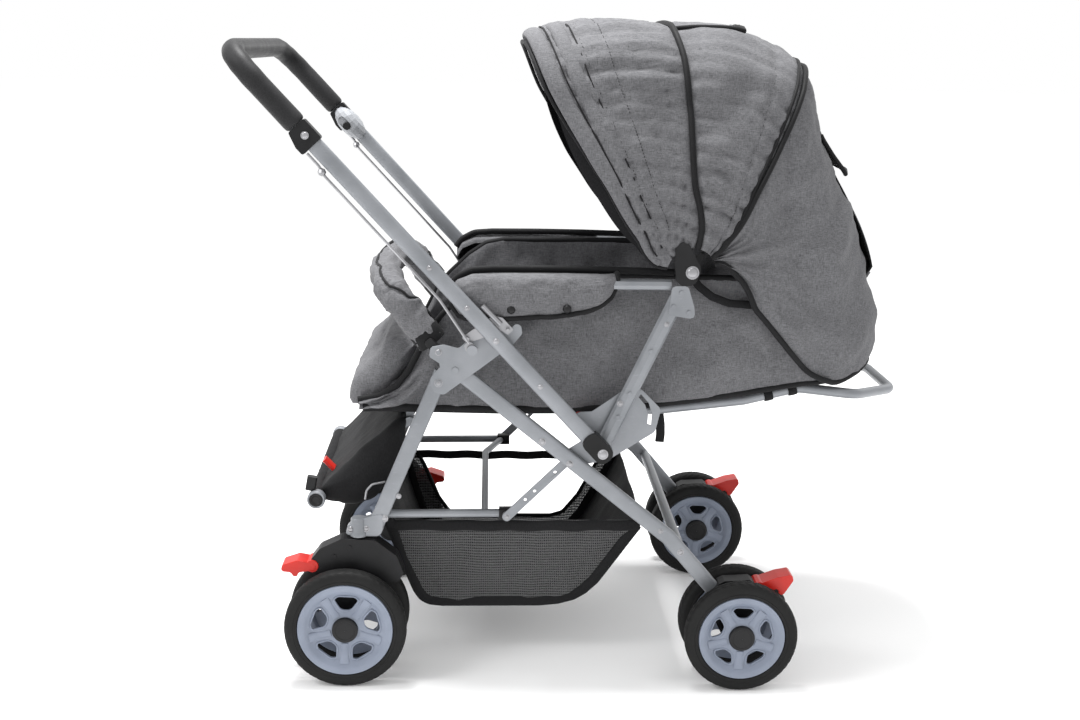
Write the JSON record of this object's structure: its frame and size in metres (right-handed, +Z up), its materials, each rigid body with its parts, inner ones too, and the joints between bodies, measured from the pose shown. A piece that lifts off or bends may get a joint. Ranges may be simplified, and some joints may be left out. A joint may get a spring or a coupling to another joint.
{
  "type": "pushchair",
  "caption": "Folding pushchair with a reversible handle, grey gondola and hooded canopy, paired wheels on swivel casters and a mesh basket.",
  "frame": {"origin": "on the ground, under the middle of the box that holds the pushchair", "axes": "+X towards the head end and the rear wheels, +Y towards the side whose handle arm carries the release, +Z up"},
  "size_m": [1.0496, 0.584, 1.0041],
  "materials": {
    "silver_paint": "satin silver-grey paint",
    "bright_steel": "zinc-plated wire",
    "black_plastic": "fine-grained moulding",
    "black_foam": "soft closed foam",
    "red_plastic": "satin",
    "white_plastic": "satin",
    "grey_heather": "heathered plain weave with black piping",
    "black_cloth": "mesh and plain cloth",
    "tyre": "foam tyre on a moulded blue-grey rim"
  },
  "bodies": {
    "frame": {"rear_leg_near": "silver_paint", "rear_leg_far": "silver_paint", "front_plate_near": "silver_paint", "front_plate_far": "silver_paint", "armrest_near": "silver_paint", "armrest_far": "silver_paint", "strut_near": "silver_paint", "strut_far": "silver_paint", "recline_plate_near": "silver_paint", "recline_plate_far": "silver_paint", "rear_hub_near": "black_plastic", "rear_hub_far": "black_plastic", "rear_cross_tube": "silver_paint", "seat_rail": "silver_paint", "gondola_tub": "grey_heather", "seat_pad": "grey_heather", "gondola_head": "grey_heather", "canopy_rear": "grey_heather", "canopy_rear_bow": "black_plastic", "basket": "black_cloth"},
    "front_legs": {"front_leg_near": "silver_paint", "front_leg_far": "silver_paint", "front_cross_tube": "silver_paint"},
    "brace": {"brace_frame": "silver_paint"},
    "link_near": {"brace_link_near": "silver_paint"},
    "link_far": {"brace_link_far": "silver_paint"},
    "handle": {"pivot_block_near": "black_plastic", "pivot_block_far": "black_plastic", "latch_box_near": "black_plastic", "latch_box_far": "black_plastic", "handle_tube": "silver_paint", "handle_grip": "black_foam", "release_housing": "white_plastic"},
    "release": {"lock_rod_near": "bright_steel", "lock_rod_far": "bright_steel", "release_knob": "black_plastic"},
    "canopy_middle": {"canopy_mid": "grey_heather", "canopy_mid_bow": "bright_steel"},
    "canopy_nose": {"canopy_front": "grey_heather", "canopy_front_bow": "bright_steel"},
    "backrest": {"recline_tube": "silver_paint", "backrest_panel": "grey_heather"},
    "bumper": {"bumper_bar": "grey_heather"},
    "footrest": {"footrest_bar": "silver_paint", "footrest_panel": "black_cloth"},
    "button": {"fold_button": "red_plastic"},
    "caster_near": {"caster_yoke_near": "black_plastic"},
    "caster_far": {"caster_yoke_far": "black_plastic"},
    "swivel_lever_near": {"swivel_lock_near": "red_plastic"},
    "swivel_lever_far": {"swivel_lock_far": "red_plastic"},
    "brake_near": {"brake_lever_near": "red_plastic"},
    "brake_far": {"brake_lever_far": "red_plastic"},
    "front_wheel_near_outer_body": {"front_wheel_near_outer": "tyre"},
    "front_wheel_near_inner_body": {"front_wheel_near_inner": "tyre"},
    "front_wheel_far_outer_body": {"front_wheel_far_outer": "tyre"},
    "front_wheel_far_inner_body": {"front_wheel_far_inner": "tyre"},
    "rear_wheel_near_outer_body": {"rear_wheel_near_outer": "tyre"},
    "rear_wheel_near_inner_body": {"rear_wheel_near_inner": "tyre"},
    "rear_wheel_far_outer_body": {"rear_wheel_far_outer": "tyre"},
    "rear_wheel_far_inner_body": {"rear_wheel_far_inner": "tyre"}
  },
  "joints": [
    {"name": "front_leg_fold", "type": "hinge", "parent": "frame", "child": "front_legs", "pos_m": [-0.22, 0, 0.48], "axis": [0, -1, 0], "range_deg": [0, 30], "deforming": ["basket"]},
    {"name": "brace_fold", "type": "hinge", "parent": "front_legs", "child": "brace", "pos_m": [-0.304, 0, 0.26], "axis": [0, -1, 0], "range_deg": [-40, 0]},
    {"name": "link_fold_near", "type": "hinge", "parent": "frame", "child": "link_near", "pos_m": [-0.022, -0.2225, 0.354], "axis": [0, -1, 0], "range_deg": [0, 58]},
    {"name": "link_fold_far", "type": "hinge", "parent": "frame", "child": "link_far", "pos_m": [-0.022, 0.2225, 0.354], "axis": [0, -1, 0], "range_deg": [0, 58]},
    {"name": "handle_reverse", "type": "hinge", "parent": "frame", "child": "handle", "pos_m": [0.026, 0, 0.377], "axis": [0, 1, 0], "range_deg": [0, 60]},
    {"name": "lock_release", "type": "slide", "parent": "handle", "child": "release", "axis": [-0.6794, 0, 0.7337], "range_m": [0, 0.011], "stiffness_N_per_m": 300, "springref_m": -0.01},
    {"name": "canopy_mid_fold", "type": "hinge", "parent": "frame", "child": "canopy_middle", "pos_m": [0.153, 0, 0.649], "axis": [0, 1, 0], "range_deg": [0, 24], "deforming": ["canopy_mid"]},
    {"name": "canopy_front_fold", "type": "hinge", "parent": "canopy_middle", "child": "canopy_nose", "pos_m": [0.153, 0, 0.649], "axis": [0, 1, 0], "range_deg": [0, 20], "deforming": ["canopy_front"]},
    {"name": "backrest_recline", "type": "hinge", "parent": "frame", "child": "backrest", "pos_m": [0.056, 0, 0.423], "axis": [0, -1, 0], "range_deg": [0, 45], "deforming": ["gondola_head", "canopy_rear"]},
    {"name": "bumper_swing", "type": "hinge", "parent": "frame", "child": "bumper", "pos_m": [-0.22, 0, 0.527], "axis": [0, -1, 0], "range_deg": [0, 45]},
    {"name": "footrest_raise", "type": "hinge", "parent": "frame", "child": "footrest", "pos_m": [-0.268, 0, 0.396], "axis": [0, 1, 0], "range_deg": [0, 30]},
    {"name": "fold_button_press", "type": "slide", "parent": "frame", "child": "button", "axis": [0, 0, 1], "range_m": [0, 0.003], "stiffness_N_per_m": 300, "springref_m": -0.002},
    {"name": "caster_swivel_near", "type": "hinge", "parent": "front_legs", "child": "caster_near", "pos_m": [-0.344, -0.222, 0.23], "axis": [0, 0, 1], "continuous": true},
    {"name": "swivel_lock_near_turn", "type": "hinge", "parent": "caster_near", "child": "swivel_lever_near", "pos_m": [-0.415, -0.222, 0.186], "axis": [0, -1, 0], "range_deg": [0, 20]},
    {"name": "front_wheel_near_outer_spin", "type": "hinge", "parent": "caster_near", "child": "front_wheel_near_outer_body", "pos_m": [-0.363, -0.258, 0.094], "axis": [0, 1, 0], "continuous": true},
    {"name": "front_wheel_near_inner_spin", "type": "hinge", "parent": "caster_near", "child": "front_wheel_near_inner_body", "pos_m": [-0.363, -0.186, 0.094], "axis": [0, 1, 0], "continuous": true},
    {"name": "caster_swivel_far", "type": "hinge", "parent": "front_legs", "child": "caster_far", "pos_m": [-0.344, 0.222, 0.23], "axis": [0, 0, 1], "continuous": true},
    {"name": "swivel_lock_far_turn", "type": "hinge", "parent": "caster_far", "child": "swivel_lever_far", "pos_m": [-0.273, 0.222, 0.186], "axis": [0, 1, 0], "range_deg": [0, 20]},
    {"name": "front_wheel_far_outer_spin", "type": "hinge", "parent": "caster_far", "child": "front_wheel_far_outer_body", "pos_m": [-0.325, 0.258, 0.094], "axis": [0, 1, 0], "continuous": true},
    {"name": "front_wheel_far_inner_spin", "type": "hinge", "parent": "caster_far", "child": "front_wheel_far_inner_body", "pos_m": [-0.325, 0.186, 0.094], "axis": [0, 1, 0], "continuous": true},
    {"name": "brake_near_turn", "type": "hinge", "parent": "frame", "child": "brake_near", "pos_m": [0.276, -0.24, 0.1575], "axis": [0, 1, 0], "range_deg": [0, 15]},
    {"name": "rear_wheel_near_outer_spin", "type": "hinge", "parent": "frame", "child": "rear_wheel_near_outer_body", "pos_m": [0.246, -0.276, 0.0875], "axis": [0, 1, 0], "continuous": true},
    {"name": "rear_wheel_near_inner_spin", "type": "hinge", "parent": "frame", "child": "rear_wheel_near_inner_body", "pos_m": [0.246, -0.204, 0.0875], "axis": [0, 1, 0], "continuous": true},
    {"name": "brake_far_turn", "type": "hinge", "parent": "frame", "child": "brake_far", "pos_m": [0.276, 0.24, 0.1575], "axis": [0, 1, 0], "range_deg": [0, 15]},
    {"name": "rear_wheel_far_outer_spin", "type": "hinge", "parent": "frame", "child": "rear_wheel_far_outer_body", "pos_m": [0.246, 0.276, 0.0875], "axis": [0, 1, 0], "continuous": true},
    {"name": "rear_wheel_far_inner_spin", "type": "hinge", "parent": "frame", "child": "rear_wheel_far_inner_body", "pos_m": [0.246, 0.204, 0.0875], "axis": [0, 1, 0], "continuous": true}
  ],
  "couplings": [
    {"joint": "brace_fold", "follows": "front_leg_fold", "ratio": -1.33},
    {"joint": "link_fold_near", "follows": "front_leg_fold", "ratio": 1.93},
    {"joint": "link_fold_far", "follows": "front_leg_fold", "ratio": 1.93}
  ]
}
